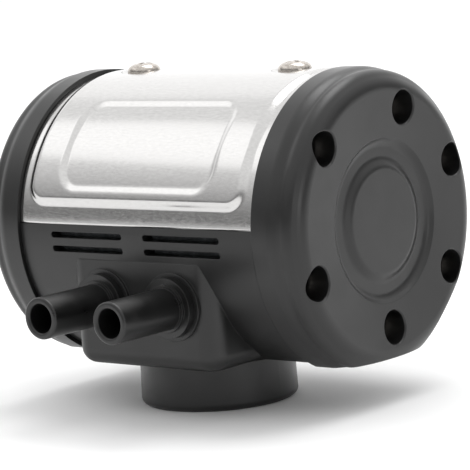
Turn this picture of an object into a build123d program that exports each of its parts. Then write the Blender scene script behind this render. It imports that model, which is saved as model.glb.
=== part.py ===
from build123d import *
import os
from math import cos, radians, sin

# Pneumatic milking pulsator, in millimetres. X runs along the drum, -Y is the side of the
# two pulse-tube nozzles and +Z is up. The origin is the centre of the vacuum socket's rim.
# "drop" and "rise" are heights below and above the drum axis; "back" is distance behind it.

# Drum, shared by the housing, the caps and the cover
drum_length = 84.0              # from cap seam to cap seam
drum_radius = 40.0              # lower shell, flush with the cover
drum_wall = 4.0
bottom_drop = drum_radius - 3.5  # flat underside
corner_flat = drum_radius - 4.0  # flat at the lower rear corner, distance from the axis
corner_angle = 47.0             # of that flat, below horizontal
axis_setback = 9.0              # drum axis behind the socket's axis
deck_drop = 11.0                # deck that carries the valve seats
end_wall = 11.0                 # each end wall, with the diaphragm bowl in it
rail_rise = 8.0                 # top of the side rails that the cover laps over

# Nozzle block under the front of the drum
block_width = 51.2
block_front = drum_radius - 0.4  # front face ahead of the drum axis
block_back = 9.0
block_top_drop = 7.0
block_corner = 5.5
block_bottom_round = 4.5

# Stainless cover
cover_thickness = 0.8
cover_gap = 0.1                 # between the cover and the housing's ends
cover_seat_gap = 0.1            # cover inside to the housing's rims
cover_edge_rise = 2.6           # lower edges of the cover
emboss_height = 1.0
emboss_margin = 4.0             # plain flange at each end
emboss_edge_rise = 8.6          # lower edges of the raised field
panel_depth = 0.6               # recessed panel inside the raised field
panel_margin = 14.5
panel_low = 17.0                # degrees above horizontal
panel_high = 51.0
seat_dish_radius = 5.8          # flat dish under each cover screw
gasket_width = 2.0
gasket_depth = 1.5
gasket_inset = 4.5              # gasket centre from the cap seam

# Cover screws
cover_screw_spread = 27.4       # each side of the middle
cover_screw_radius = 2.5
cover_screw_length = 9.5
cover_head_radius = 4.65
cover_head_height = 3.1
insert_wall = 0.8
screw_slack = 0.02              # screw in its own insert, both on one body
screw_boss_depth = 16.0
screw_boss_width = 12.0
screw_boss_margin = 2.0         # boss beyond the insert
cover_insert_length = 8.0
cover_insert_lift = 1.0         # insert holes are cut from this far above the rims
cover_cross_width = 1.1

# End caps
cap_radius = drum_radius + 1.2
cap_depth = 12.7                # seam to the face beside the ring
cap_band = 6.0                  # straight band beside the seam
cap_band_round = 5.0
cap_waist = 8.4                 # seam to the shallow waist behind the shoulder
cap_waist_radius = drum_radius + 0.2
cap_waist_round = 2.5
cap_shoulder = 10.8             # seam to the shoulder's corner, before rounding
cap_shoulder_radius = drum_radius + 0.5
cap_shoulder_round = 3.0
cap_rim = 13.9                  # seam to the highest ring of the face, before rounding
cap_rim_radius = drum_radius - 3.5
cap_rim_round = 5.0
cap_flat_drop = drum_radius - 2.8   # flat underside of the cap
cap_corner_flat = drum_radius - 3.2  # flat of the cap at its lower rear corner
cap_flat_margin = 0.5           # outline beyond the band, so that only the flats cut
cap_flat_round = 7.0
cap_face_wall = 3.0
ring_outer = 22.2
ring_floor_outer = 20.6
ring_floor_inner = 16.6
ring_inner = 14.4
ring_depth = 1.5
ring_round = 2.5
disc_inset = 0.3
recess_break = 0.35             # broken edge round each screw recess

# Cap screws: (degrees from the rear horizontal, distance in from the drum's radius), on the right
cap_screw_places = ((22, 6.4), (71, 9.0), (138, 6.6), (201, 6.6), (271, 11.0), (329, 7.4))
cap_screw_radius = 2.0
cap_screw_grip = 7.5            # thread length inside the end wall
cap_recess_radius = 4.6
cap_recess_floor = 3.5          # seam to the screw head's seat
cap_head_radius = 3.9
cap_head_height = 2.8
cap_insert_length = 8.0
cap_cross_width = 0.9
screw_clearance = 0.2

# Diaphragms and their plates
stroke = 3.5                    # each way from the middle
chamber_radius = 22.0
bowl_depth = 6.5
diaphragm_radius = drum_radius - 2.8
diaphragm_bottom = drum_radius - 4.4
diaphragm_corner = drum_radius - 5.0
diaphragm_thickness = 1.5
diaphragm_slack = 0.2
roll_inner = 14.6
roll_outer = 21.4
roll_depth = 2.8
plate_radius = 14.0
plate_thickness = 1.5
plate_screw_radius = 2.0
plate_screw_grip = 8.0
plate_tap_gap = 1.0             # tapped hole beyond the screw's end
plate_head_radius = 3.8
plate_head_height = 2.4

# Shaft, bushes and seals
shaft_radius = 3.0
running_clearance = 0.05        # radial, shafts in their bores
bush_radius = 5.5
bush_length = 2.7
bush_flange_radius = 7.5
bush_flange = 1.0

# Main slide valve and its carrier
seat_length = 41.0
seat_width = 16.0
seat_thickness = 2.0
seat_gasket_thickness = 0.5
port_width = 3.0
port_length = 9.0
pulse_port_spread = 7.0
seat_screw_spread = 18.0
seat_screw_radius = 1.25
seat_head_radius = 2.2
seat_head_height = 1.5
seat_screw_grip = 6.0
seat_screw_gap = 0.5            # below the screw's end
seat_cross_width = 0.6
slide_length = 19.0
slide_width = 14.0
slide_height = 4.25
slide_cavity_length = 11.0
slide_cavity_width = 9.4
slide_cavity_depth = 2.6
slide_cavity_round = 1.5
slide_edge = 0.5
face_clearance = 0.05           # sliding faces
carrier_fit = 0.2
carrier_wall = 1.8
carrier_rise = 6.0
carrier_lift = 0.6              # carrier skirt above the seat
carrier_round = 1.5
pocket_drop = 3.6
pin_radius = 1.0
spring_thickness = 0.25
spring_length = 15.0
spring_width = 5.0

# Pilot valve and its lever
pilot_back = 17.0
lever_back = 31.0               # lever pivot behind the drum axis
drive_back = 11.5               # lever's drive pin
lever_thickness = 2.0
lever_top_drop = 3.2
lever_width = 4.4
lever_pin_radius = 1.5
lever_pin_sunk = 4.0
lever_post_radius = 3.5
lever_pin_head = 2.6
lever_pin_head_height = 1.0
lever_clearance = 0.35
tab_bottom_drop = 2.4
tab_rise = 1.4
tab_half_width = 4.2
tab_end = 2.6                   # tab beyond the drive pin
tab_slot_play = 1.2             # lets the lever's pin swing in and out of line
pilot_seat_length = 17.0
pilot_seat_width = 10.0
pilot_seat_thickness = 1.5
pilot_port_spread = 3.6
pilot_port_radius = 0.8
pilot_length = 11.0
pilot_width = 7.4
pilot_height = 3.25
pilot_cavity_length = 5.6
pilot_cavity_width = 4.0
pilot_cavity_depth = 0.65
pilot_cavity_round = 0.8
pilot_edge = 0.4
pilot_slot_depth = 1.8
pilot_slot_length = 5.0

# Air ways
duct_radius = 1.0
duct_drop = 12.7
vacuum_bore_radius = 3.5
pulse_bore_radius = 3.5
link_duct_drop = 16.5
port_overlap = 0.3              # control ducts start this far inside their ports
duct_overrun = 1.2              # pulse duct beyond the riser it meets
groove_depth = 2.5

# Nozzles
nozzle_spread = 12.3            # each side of the middle
nozzle_drop = 18.6
nozzle_radius = 5.7
nozzle_bore_radius = 3.875
nozzle_length = 25.9            # from the block's front face
nozzle_flange_radius = 8.2
nozzle_flange = 2.4
nozzle_step_radius = 6.5       # small shoulder between the flange and the tube
nozzle_step = 0.8
nozzle_tip_round = 0.7
nozzle_spigot_radius = 6.6
nozzle_spigot = 8.0
nozzle_ring_radius = 9.3        # raised ring on the block
nozzle_ring = 0.9
nozzle_seal_section = 0.9
air_duct_radius = 3.875

# Vent slots and filter
slot_rises = (-0.4, -4.3)
slot_height = 1.7
slot_starts = (-30.4, 3.2)
slot_ends = (-4.4, 30.0)
filter_depth = 5.0
filter_gap = 0.3
filter_rise = 6.0
clip_thickness = 0.5
clip_window = 5.0
clip_windows = 6

# Vacuum socket
socket_radius = 22.0
socket_top_radius = 21.6
socket_height = 13.5
socket_round = 1.8
socket_seam = 0.6
socket_web = 3.0
socket_bore_radius = 17.2
sleeve_bore_radius = 15.0       # takes a 30 mm vacuum stub
spigot_radius = 15.0
spigot_bore_radius = 12.8
spigot_height = 4.0
spigot_fit = 0.1
socket_seal_section = 1.0

# Rate screw at the rear
rate_x = 14.0
rate_screw_radius = 2.5
rate_head_radius = 3.9
rate_head_height = 2.6
rate_boss_radius = 6.2
rate_boss_back = drum_radius + 0.4
rate_tip_radius = 0.7
rate_tip_length = 3.0
rate_slot = 0.9
rate_seal_section = 0.7
rate_seal_depth = 8.0

# Moulding pockets in the deck
pocket_start = 22.0
pocket_end = 29.0
pocket_front = 27.0
pocket_back = 5.0
pocket_depth = 12.0
pocket_round = 1.5

# Derived sizes
half_length = drum_length / 2
axis_height = socket_height + bottom_drop
inner_radius = drum_radius - drum_wall
cover_inner = drum_radius - cover_thickness
rim_radius = cover_inner - cover_seat_gap
chamber_half = half_length - end_wall
bowl_floor = half_length - bowl_depth
cover_half = half_length - cover_gap
emboss_radius = drum_radius + emboss_height
deck_level = axis_height - deck_drop
seat_level = deck_level + seat_gasket_thickness + seat_thickness
nozzle_level = axis_height - nozzle_drop
front_face = axis_setback - block_front
pilot_y = axis_setback + pilot_back
lever_y = axis_setback + lever_back
drive_y = axis_setback + drive_back
lever_top = axis_height - lever_top_drop
slide_base = seat_level + face_clearance
pilot_base = deck_level + pilot_seat_thickness + face_clearance
cap_face = half_length + cap_depth
chamber_end = cap_face - cap_face_wall
diaphragm_face = half_length + diaphragm_thickness
plate_face = diaphragm_face + plate_thickness
shaft_half = half_length - plate_thickness
head_seat = half_length + cap_recess_floor
cover_top = axis_height + drum_radius
cover_points = [(-cover_screw_spread, axis_setback), (cover_screw_spread, axis_setback)]
seat_points = [(-seat_screw_spread, axis_setback), (seat_screw_spread, axis_setback)]
nozzle_places = [(-nozzle_spread, 0), (nozzle_spread, 0)]
rate_plane = Plane(origin=(rate_x, axis_setback + rate_boss_back, axis_height - duct_drop),
                   x_dir=(-1, 0, 0), z_dir=(0, 1, 0))
drum_axis = Axis((0, axis_setback, axis_height), (1, 0, 0))
low = Align.MIN
mid = Align.CENTER
high = Align.MAX
sides = (("left", -1), ("right", 1))

os.makedirs("parts", exist_ok=True)


def across(x, side=1):
    # plane square to the drum axis, x outwards of the middle, facing out; local x is
    # rearwards on the right, so a left-hand piece is the right-hand one turned round
    return Plane(origin=(side * x, axis_setback, axis_height), x_dir=(0, side, 0), z_dir=(side, 0, 0))


def lengthwise(side=1):
    # upright plane through the drum axis; local x is outwards, local y is up
    return Plane(origin=(0, axis_setback, axis_height), x_dir=(side, 0, 0), z_dir=(0, -side, 0))


def facing_front(y, x=0, z=0):
    # plane that faces -Y; local x is +X and local y is up
    return Plane(origin=(x, y, z), x_dir=(1, 0, 0), z_dir=(0, -1, 0))


def finish(piece, name):
    piece.part.label = name
    export_step(piece.part, f"parts/{name}.step")


def screw_points():
    return [
        ((drum_radius - inset) * cos(radians(angle)), (drum_radius - inset) * sin(radians(angle)))
        for angle, inset in cap_screw_places
    ]


def cross_slots(plane, points, reach, width):
    # crosses for the recesses of screw heads, at the given points of a plane
    with BuildSketch(plane) as crosses:
        with Locations(*points):
            Rectangle(2 * reach, width)
            Rectangle(width, 2 * reach)
    return crosses.sketch


def corner_at(sketch, depth, radius=None):
    # outer corners of a lengthwise profile at that distance from the middle of the drum
    return [
        corner for corner in sketch.vertices()
        if abs(corner.X - depth) < 0.01 and corner.Y > 1
        and (radius is None or abs(corner.Y - radius) < 0.01)
    ]


def outline(radius, bottom, corner, side=1):
    # round, with a flat underside and a flat at the lower rear corner
    Circle(radius)
    with Locations((0, -bottom)):
        Rectangle(2 * radius, radius, align=(mid, high), mode=Mode.SUBTRACT)
    reach = corner + radius / 2
    middle = (side * reach * cos(radians(corner_angle)), -reach * sin(radians(corner_angle)), 0)
    with Locations(Location(middle, (0, 0, -side * corner_angle))):
        Rectangle(radius, 2 * radius, mode=Mode.SUBTRACT)


def wedge(low_angle, high_angle, reach, front):
    # sector of the drum's section between two angles above horizontal, front or rear
    turn = -1 if front else 1
    middle = (low_angle + high_angle) / 2
    corners = [(0, 0)]
    for angle in (low_angle, middle, high_angle):
        corners.append((turn * reach * cos(radians(angle)), reach * sin(radians(angle))))
    Polygon(*corners, align=None, mode=Mode.INTERSECT)


# Block that carries the nozzles, rounded where it stands out of the drum
with BuildPart() as nozzle_block:
    with BuildSketch(Plane.XY.offset(axis_height - bottom_drop)):
        with Locations((0, front_face)):
            Rectangle(block_width, block_front - block_back, align=(mid, low))
    extrude(amount=bottom_drop - block_top_drop)
    fillet(nozzle_block.edges().filter_by(Axis.Z).sort_by(Axis.Y)[:2], radius=block_corner)
    block_bottom = nozzle_block.faces().sort_by(Axis.Z)[0]
    fillet(block_bottom.edges().sort_by(Axis.Y)[:-1], radius=block_bottom_round)


# Housing: end walls with diaphragm bowls, lower shell, deck, nozzle block and air ways
with BuildPart() as housing:
    with BuildSketch(across(-half_length)):
        outline(drum_radius, bottom_drop, corner_flat)
    extrude(amount=drum_length)

    add(nozzle_block.part)

    # boss of the rate screw
    with BuildSketch(rate_plane):
        Circle(rate_boss_radius)
    extrude(amount=-(rate_boss_back - inner_radius / 2))

    # rims that carry the cover
    with BuildSketch(across(-half_length)):
        Circle(2 * drum_radius)
        Circle(rim_radius, mode=Mode.SUBTRACT)
        with Locations((0, cover_edge_rise - cover_seat_gap)):
            Rectangle(4 * drum_radius, 4 * drum_radius, align=(mid, high), mode=Mode.SUBTRACT)
    extrude(amount=drum_length, mode=Mode.SUBTRACT)

    # valve chamber, open at the top between the end walls
    with BuildSketch(across(-chamber_half)):
        Circle(inner_radius)
        with Locations((0, rail_rise)):
            Rectangle(3 * drum_radius, drum_radius, align=(mid, low))
        with Locations((0, -deck_drop)):
            Rectangle(3 * drum_radius, drum_radius, align=(mid, high), mode=Mode.SUBTRACT)
    extrude(amount=2 * chamber_half, mode=Mode.SUBTRACT)

    # bosses for the cover screws, hung from the end walls
    boss_inner = cover_screw_spread - cover_screw_radius - insert_wall - screw_boss_margin
    for side in (-1, 1):
        with BuildSketch(across(boss_inner, side)):
            Circle(rim_radius)
            with Locations((0, rim_radius)):
                Rectangle(screw_boss_width, screw_boss_depth, align=(mid, high), mode=Mode.INTERSECT)
        extrude(amount=chamber_half - boss_inner)
    insert_radius = cover_screw_radius + insert_wall
    with BuildSketch(Plane.XY.offset(axis_height + rim_radius + cover_insert_lift)):
        with Locations(*cover_points):
            Circle(insert_radius)
    extrude(amount=-(cover_insert_length + 2 * cover_insert_lift), mode=Mode.SUBTRACT)

    # bowls, bush bores, insert holes and gasket grooves of both ends
    for side in (-1, 1):
        with BuildSketch(across(half_length, side)):
            Circle(chamber_radius)
        extrude(amount=-bowl_depth, mode=Mode.SUBTRACT)
        with BuildSketch(across(half_length, side)):
            Circle(bush_radius)
        extrude(amount=-end_wall, mode=Mode.SUBTRACT)
        with BuildSketch(across(half_length, side)):
            with Locations(*screw_points()):
                Circle(cap_screw_radius + insert_wall)
        extrude(amount=-cap_insert_length, mode=Mode.SUBTRACT)
        with BuildSketch(across(half_length - gasket_inset - gasket_width / 2, side)):
            Circle(2 * drum_radius)
            Circle(cover_inner - gasket_depth, mode=Mode.SUBTRACT)
            with Locations((0, rail_rise)):
                Rectangle(4 * drum_radius, 4 * drum_radius, align=(mid, high), mode=Mode.SUBTRACT)
        extrude(amount=gasket_width, mode=Mode.SUBTRACT)

    # vent slots through the front of the shell
    with BuildSketch(facing_front(axis_setback - 2 * drum_radius, 0, axis_height)):
        for rise in slot_rises:
            for start, end in zip(slot_starts, slot_ends):
                with Locations(((start + end) / 2, rise)):
                    SlotOverall(end - start, slot_height)
    extrude(amount=-(2 * drum_radius - inner_radius / 2), mode=Mode.SUBTRACT)

    # raised rings, spigot bores and ducts of the nozzles
    with BuildSketch(facing_front(front_face, 0, nozzle_level)):
        with Locations(*nozzle_places):
            Circle(nozzle_ring_radius)
    extrude(amount=nozzle_ring)
    with BuildSketch(facing_front(front_face - nozzle_ring, 0, nozzle_level)):
        with Locations(*nozzle_places):
            Circle(nozzle_spigot_radius)
    extrude(amount=-(nozzle_spigot + nozzle_ring), mode=Mode.SUBTRACT)
    with BuildSketch(facing_front(front_face, 0, nozzle_level)):
        with Locations(*nozzle_places):
            Circle(air_duct_radius)
    extrude(amount=-(block_front + pulse_bore_radius + duct_overrun), mode=Mode.SUBTRACT)
    with BuildSketch(Plane.XY.offset(deck_level)):
        with Locations((-nozzle_spread, axis_setback), (nozzle_spread, axis_setback)):
            Circle(pulse_bore_radius)
    extrude(amount=-(nozzle_drop - deck_drop), mode=Mode.SUBTRACT)
    groove_end = nozzle_spread + pulse_bore_radius
    groove_start = pulse_port_spread - port_width / 2
    with BuildSketch(Plane.XY.offset(deck_level)):
        for side in (-1, 1):
            with Locations((side * (groove_start + groove_end) / 2, axis_setback)):
                Rectangle(groove_end - groove_start, port_length)
    extrude(amount=-groove_depth, mode=Mode.SUBTRACT)

    # vacuum way from the socket to the deck, and the socket's spigot recess
    with BuildSketch(Plane.XY.offset(deck_level)):
        with Locations((0, axis_setback)):
            Circle(vacuum_bore_radius)
    extrude(amount=-bottom_drop, mode=Mode.SUBTRACT)
    with BuildSketch(Plane.XY.offset(socket_height)):
        Circle(spigot_radius + spigot_fit)
    extrude(amount=spigot_height + spigot_fit, mode=Mode.SUBTRACT)

    # control ducts from the pilot seat to both bowls and to the vacuum way
    for side in (-1, 1):
        duct_start = pilot_port_spread - duct_radius - port_overlap
        with BuildSketch(across(duct_start, side)):
            with Locations((side * pilot_back, -duct_drop)):
                Circle(duct_radius)
        extrude(amount=bowl_floor - duct_start + 1, mode=Mode.SUBTRACT)
    with BuildSketch(Plane.XY.offset(deck_level)):
        with Locations((-pilot_port_spread, pilot_y), (pilot_port_spread, pilot_y)):
            Circle(pilot_port_radius)
    extrude(amount=-(duct_drop - deck_drop), mode=Mode.SUBTRACT)
    with BuildSketch(Plane.XY.offset(deck_level)):
        with Locations((0, pilot_y)):
            Circle(pilot_port_radius)
    extrude(amount=-(link_duct_drop - deck_drop), mode=Mode.SUBTRACT)
    with BuildSketch(facing_front(axis_setback, 0, axis_height - link_duct_drop)):
        Circle(duct_radius)
    extrude(amount=-(pilot_back + duct_radius), mode=Mode.SUBTRACT)

    # bore, seal groove and head recess of the rate screw
    with BuildSketch(rate_plane):
        Circle(rate_screw_radius + running_clearance)
    extrude(amount=-(rate_boss_back - pilot_back - rate_tip_length), mode=Mode.SUBTRACT)
    with BuildSketch(rate_plane):
        Circle(rate_tip_radius + 2 * running_clearance)
    extrude(amount=-(rate_boss_back - pilot_back), mode=Mode.SUBTRACT)
    with BuildSketch(rate_plane):
        Circle(rate_head_radius + lever_clearance)
    extrude(amount=-(rate_head_height + lever_clearance), mode=Mode.SUBTRACT)
    with BuildSketch(rate_plane.offset(-rate_seal_depth)):
        Circle(rate_screw_radius + running_clearance + 2 * rate_seal_section)
    extrude(amount=-2 * rate_seal_section, mode=Mode.SUBTRACT)

    # lever post on the deck with its pin hole, seat screw holes and moulding pockets
    with BuildSketch(Plane.XY.offset(deck_level)):
        with Locations((0, lever_y)):
            Circle(lever_post_radius)
    extrude(amount=deck_drop - lever_top_drop - lever_thickness - lever_clearance)
    with BuildSketch(Plane.XY.offset(lever_top)):
        with Locations((0, lever_y)):
            Circle(lever_pin_radius)
    extrude(amount=-(deck_drop - lever_top_drop + lever_pin_sunk), mode=Mode.SUBTRACT)
    with BuildSketch(Plane.XY.offset(deck_level)):
        with Locations(*seat_points):
            Circle(seat_screw_radius + screw_slack)
    extrude(amount=-seat_screw_grip, mode=Mode.SUBTRACT)
    with BuildSketch(Plane.XY.offset(deck_level)):
        for side in (-1, 1):
            with Locations((side * (pocket_start + pocket_end) / 2,
                            axis_setback - (pocket_front + pocket_back) / 2)):
                RectangleRounded(pocket_end - pocket_start, pocket_front - pocket_back, pocket_round)
    extrude(amount=-pocket_depth, mode=Mode.SUBTRACT)
finish(housing, "housing")


# Vacuum socket: collar under the housing with a spigot into its underside
with BuildPart() as vacuum_socket:
    with BuildSketch(Plane.XZ) as socket_profile:
        with BuildLine():
            Polyline((socket_bore_radius, 0), (socket_radius, 0), (socket_top_radius, socket_height),
                     (spigot_radius, socket_height), (spigot_radius, socket_height + spigot_height),
                     (spigot_bore_radius, socket_height + spigot_height),
                     (spigot_bore_radius, socket_height - socket_web),
                     (socket_bore_radius, socket_height - socket_web), close=True)
        make_face()
        chamfer(socket_profile.vertices().sort_by(Axis.X)[-2:].sort_by(Axis.Y)[-1], length=socket_seam)
        fillet(socket_profile.vertices().sort_by(Axis.X)[-1], radius=socket_round)
    revolve(axis=Axis.Z)
    with BuildSketch(Plane.XY.offset(socket_height + spigot_height / 2 - socket_seal_section)):
        Circle(2 * spigot_radius)
        Circle(spigot_radius - 2 * socket_seal_section + spigot_fit, mode=Mode.SUBTRACT)
    extrude(amount=2 * socket_seal_section, mode=Mode.SUBTRACT)
finish(vacuum_socket, "vacuum_socket")

with BuildPart() as socket_seal:
    with BuildSketch(Plane.XZ):
        with Locations((spigot_radius - socket_seal_section + spigot_fit,
                        socket_height + spigot_height / 2)):
            Circle(socket_seal_section)
    revolve(axis=Axis.Z)
finish(socket_seal, "socket_seal")

# rubber sleeve that grips the vacuum stub
with BuildPart() as socket_sleeve:
    with BuildSketch(Plane.XZ):
        with Locations((sleeve_bore_radius, 0)):
            Rectangle(socket_bore_radius - sleeve_bore_radius, socket_height - socket_web, align=(low, low))
    revolve(axis=Axis.Z)
finish(socket_sleeve, "socket_sleeve")


# Cover: half drum of thin sheet with a raised field and a recessed panel front and rear
with BuildPart() as cover:
    with BuildSketch(across(-cover_half)):
        Circle(drum_radius)
        Circle(cover_inner, mode=Mode.SUBTRACT)
        with Locations((0, cover_edge_rise)):
            Rectangle(4 * drum_radius, 2 * drum_radius, align=(mid, low), mode=Mode.INTERSECT)
    extrude(amount=2 * cover_half)
    field_half = cover_half - emboss_margin
    with BuildSketch(across(-field_half)):
        Circle(emboss_radius)
        Circle(cover_inner, mode=Mode.SUBTRACT)
        with Locations((0, emboss_edge_rise)):
            Rectangle(4 * drum_radius, 2 * drum_radius, align=(mid, low), mode=Mode.INTERSECT)
    extrude(amount=2 * field_half)
    hollow_half = field_half - cover_thickness
    with BuildSketch(across(-hollow_half)):
        Circle(emboss_radius - cover_thickness)
        Circle(cover_inner - 1, mode=Mode.SUBTRACT)
        with Locations((0, emboss_edge_rise + cover_thickness)):
            Rectangle(4 * drum_radius, 2 * drum_radius, align=(mid, low), mode=Mode.INTERSECT)
    extrude(amount=2 * hollow_half, mode=Mode.SUBTRACT)
    panel_half = cover_half - panel_margin
    for front in (True, False):
        with BuildSketch(across(-panel_half - cover_thickness)):
            Circle(emboss_radius)
            Circle(emboss_radius - panel_depth - cover_thickness, mode=Mode.SUBTRACT)
            wedge(panel_low - 1, panel_high + 1, 2 * drum_radius, front)
        extrude(amount=2 * (panel_half + cover_thickness))
        with BuildSketch(across(-panel_half)):
            Circle(2 * drum_radius)
            Circle(emboss_radius - panel_depth, mode=Mode.SUBTRACT)
            wedge(panel_low, panel_high, 3 * drum_radius, front)
        extrude(amount=2 * panel_half, mode=Mode.SUBTRACT)
    with BuildSketch(Plane.XY.offset(cover_top - cover_thickness)):
        with Locations(*cover_points):
            Circle(seat_dish_radius + cover_thickness)
    extrude(amount=emboss_height)
    with BuildSketch(Plane.XY.offset(cover_top)):
        with Locations(*cover_points):
            Circle(seat_dish_radius)
    extrude(amount=2 * emboss_height, mode=Mode.SUBTRACT)
    with BuildSketch(Plane.XY.offset(axis_height)):
        with Locations(*cover_points):
            Circle(cover_screw_radius + screw_clearance)
    extrude(amount=2 * drum_radius, mode=Mode.SUBTRACT)
finish(cover, "cover")

with BuildPart() as cover_gasket:
    for side in (-1, 1):
        with BuildSketch(across(half_length - gasket_inset - gasket_width / 2, side)):
            Circle(cover_inner)
            Circle(cover_inner - gasket_depth, mode=Mode.SUBTRACT)
            with Locations((0, rail_rise)):
                Rectangle(4 * drum_radius, 2 * drum_radius, align=(mid, low), mode=Mode.INTERSECT)
        extrude(amount=gasket_width)
finish(cover_gasket, "cover_gasket")

with BuildPart() as cover_screws:
    with BuildSketch(Plane.XY.offset(cover_top)):
        with Locations(*cover_points):
            Circle(cover_head_radius)
    extrude(amount=cover_head_height)
    fillet(cover_screws.edges().group_by(Axis.Z)[-1], radius=cover_head_height / 2)
    with BuildSketch(Plane.XY.offset(cover_top)):
        with Locations(*cover_points):
            Circle(cover_screw_radius)
    extrude(amount=-cover_screw_length)
    extrude(cross_slots(Plane.XY.offset(cover_top + cover_head_height), cover_points,
                        cover_head_radius / 2, cover_cross_width),
            amount=-cover_head_height / 2, mode=Mode.SUBTRACT)
finish(cover_screws, "cover_screws")

with BuildPart() as cover_inserts:
    with BuildSketch(Plane.XY.offset(axis_height + rim_radius - cover_insert_lift - cover_insert_length)):
        with Locations(*cover_points):
            Circle(cover_screw_radius + insert_wall)
            Circle(cover_screw_radius + screw_slack, mode=Mode.SUBTRACT)
    extrude(amount=cover_insert_length)
finish(cover_inserts, "cover_inserts")


# End caps: a band, a shallow waist, a rounded shoulder and a gently coned face with a ring
def build_cap(side):
    ring_floor = cap_face - ring_depth
    with BuildPart() as cap:
        with BuildSketch(lengthwise(side)) as profile:
            with BuildLine():
                Polyline((half_length, 0), (half_length, cap_radius), (half_length + cap_band, cap_radius),
                         (half_length + cap_waist, cap_waist_radius),
                         (half_length + cap_shoulder, cap_shoulder_radius),
                         (half_length + cap_rim, cap_rim_radius), (cap_face, ring_outer),
                         (ring_floor, ring_floor_outer), (ring_floor, ring_floor_inner),
                         (cap_face - disc_inset, ring_inner), (cap_face - disc_inset, 0), close=True)
            make_face()
            fillet(corner_at(profile, half_length + cap_rim), radius=cap_rim_round)
            fillet(corner_at(profile, half_length + cap_shoulder), radius=cap_shoulder_round)
            fillet(corner_at(profile, half_length + cap_waist), radius=cap_waist_round)
            fillet(corner_at(profile, half_length + cap_band), radius=cap_band_round)
            fillet(corner_at(profile, ring_floor), radius=ring_round)
            fillet(corner_at(profile, cap_face - disc_inset, ring_inner), radius=ring_round)
        revolve(axis=drum_axis)
        with BuildSketch(across(half_length - 1, side)) as cap_outline:
            outline(cap_radius + cap_flat_margin, cap_flat_drop, cap_corner_flat, side)
            fillet(cap_outline.vertices(), radius=cap_flat_round)
        extrude(amount=cap_rim + 2, mode=Mode.INTERSECT)
        with BuildSketch(across(half_length, side)):
            outline(diaphragm_radius + diaphragm_slack, diaphragm_bottom + diaphragm_slack,
                    diaphragm_corner + diaphragm_slack, side)
        extrude(amount=diaphragm_thickness, mode=Mode.SUBTRACT)
        with BuildSketch(across(half_length, side)):
            Circle(chamber_radius)
        extrude(amount=chamber_end - half_length, mode=Mode.SUBTRACT)
        with BuildSketch(across(head_seat, side)):
            with Locations(*screw_points()):
                Circle(cap_recess_radius)
        extrude(amount=cap_rim, mode=Mode.SUBTRACT)
        mouths = cap.edges(Select.LAST).filter_by(GeomType.LINE, reverse=True)
        mouths = mouths.filter_by(lambda edge: side * edge.center().X > head_seat + recess_break)
        chamfer(mouths, length=recess_break)
        with BuildSketch(across(half_length, side)):
            with Locations(*screw_points()):
                Circle(cap_screw_radius + screw_clearance)
        extrude(amount=cap_depth, mode=Mode.SUBTRACT)
    return cap


def build_cap_screws(side):
    head_top = head_seat + cap_head_height
    with BuildPart() as screws:
        with BuildSketch(across(head_seat, side)):
            with Locations(*screw_points()):
                Circle(cap_head_radius)
        extrude(amount=cap_head_height)
        tops = screws.faces().sort_by(Axis((0, 0, 0), (side, 0, 0)))[-len(cap_screw_places):]
        fillet(tops.edges(), radius=cap_head_height / 3)
        with BuildSketch(across(head_seat, side)):
            with Locations(*screw_points()):
                Circle(cap_screw_radius)
        extrude(amount=-(cap_recess_floor + cap_screw_grip))
        extrude(cross_slots(across(head_top, side), screw_points(), cap_head_radius / 2, cap_cross_width),
                amount=-cap_head_height / 2, mode=Mode.SUBTRACT)
    return screws


def build_cap_inserts(side):
    with BuildPart() as inserts:
        with BuildSketch(across(half_length, side)):
            with Locations(*screw_points()):
                Circle(cap_screw_radius + insert_wall)
                Circle(cap_screw_radius + screw_slack, mode=Mode.SUBTRACT)
        extrude(amount=-cap_insert_length)
    return inserts


# Rubber diaphragm with one roll, clamped between the cap and the end wall
def build_diaphragm(side):
    roll_middle = (roll_inner + roll_outer) / 2
    with BuildPart() as diaphragm:
        with BuildSketch(lengthwise(side)):
            with BuildLine():
                Polyline((half_length, roll_inner), (half_length, plate_screw_radius + running_clearance),
                         (diaphragm_face, plate_screw_radius + running_clearance),
                         (diaphragm_face, roll_inner))
                ThreePointArc((diaphragm_face, roll_inner), (diaphragm_face - roll_depth, roll_middle),
                              (diaphragm_face, roll_outer))
                Polyline((diaphragm_face, roll_outer), (diaphragm_face, diaphragm_radius),
                         (half_length, diaphragm_radius), (half_length, roll_outer))
                ThreePointArc((half_length, roll_outer), (half_length - roll_depth, roll_middle),
                              (half_length, roll_inner))
            make_face()
        revolve(axis=drum_axis)
        with BuildSketch(across(half_length - roll_depth, side)):
            outline(diaphragm_radius + 1, diaphragm_bottom, diaphragm_corner, side)
        extrude(amount=roll_depth + diaphragm_thickness, mode=Mode.INTERSECT)
        with BuildSketch(across(half_length, side)):
            with Locations(*screw_points()):
                Circle(cap_screw_radius + screw_clearance)
        extrude(amount=diaphragm_thickness, mode=Mode.SUBTRACT)
    return diaphragm


def build_plate(side, start):
    with BuildPart() as plate:
        with BuildSketch(across(start, side)):
            Circle(plate_radius)
            Circle(plate_screw_radius + running_clearance, mode=Mode.SUBTRACT)
        extrude(amount=plate_thickness)
    return plate


def build_plate_screw(side):
    with BuildPart() as screw:
        with BuildSketch(across(plate_face, side)):
            Circle(plate_head_radius)
        extrude(amount=plate_head_height)
        outer_face = screw.faces().sort_by(Axis((0, 0, 0), (side, 0, 0)))[-1]
        fillet(outer_face.edges(), radius=plate_head_height / 3)
        with BuildSketch(across(plate_face, side)):
            Circle(plate_screw_radius)
        extrude(amount=-(plate_face - shaft_half + plate_screw_grip))
        extrude(cross_slots(across(plate_face + plate_head_height, side), [(0, 0)], plate_head_radius / 2,
                            cap_cross_width), amount=-plate_head_height / 2, mode=Mode.SUBTRACT)
    return screw


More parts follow.
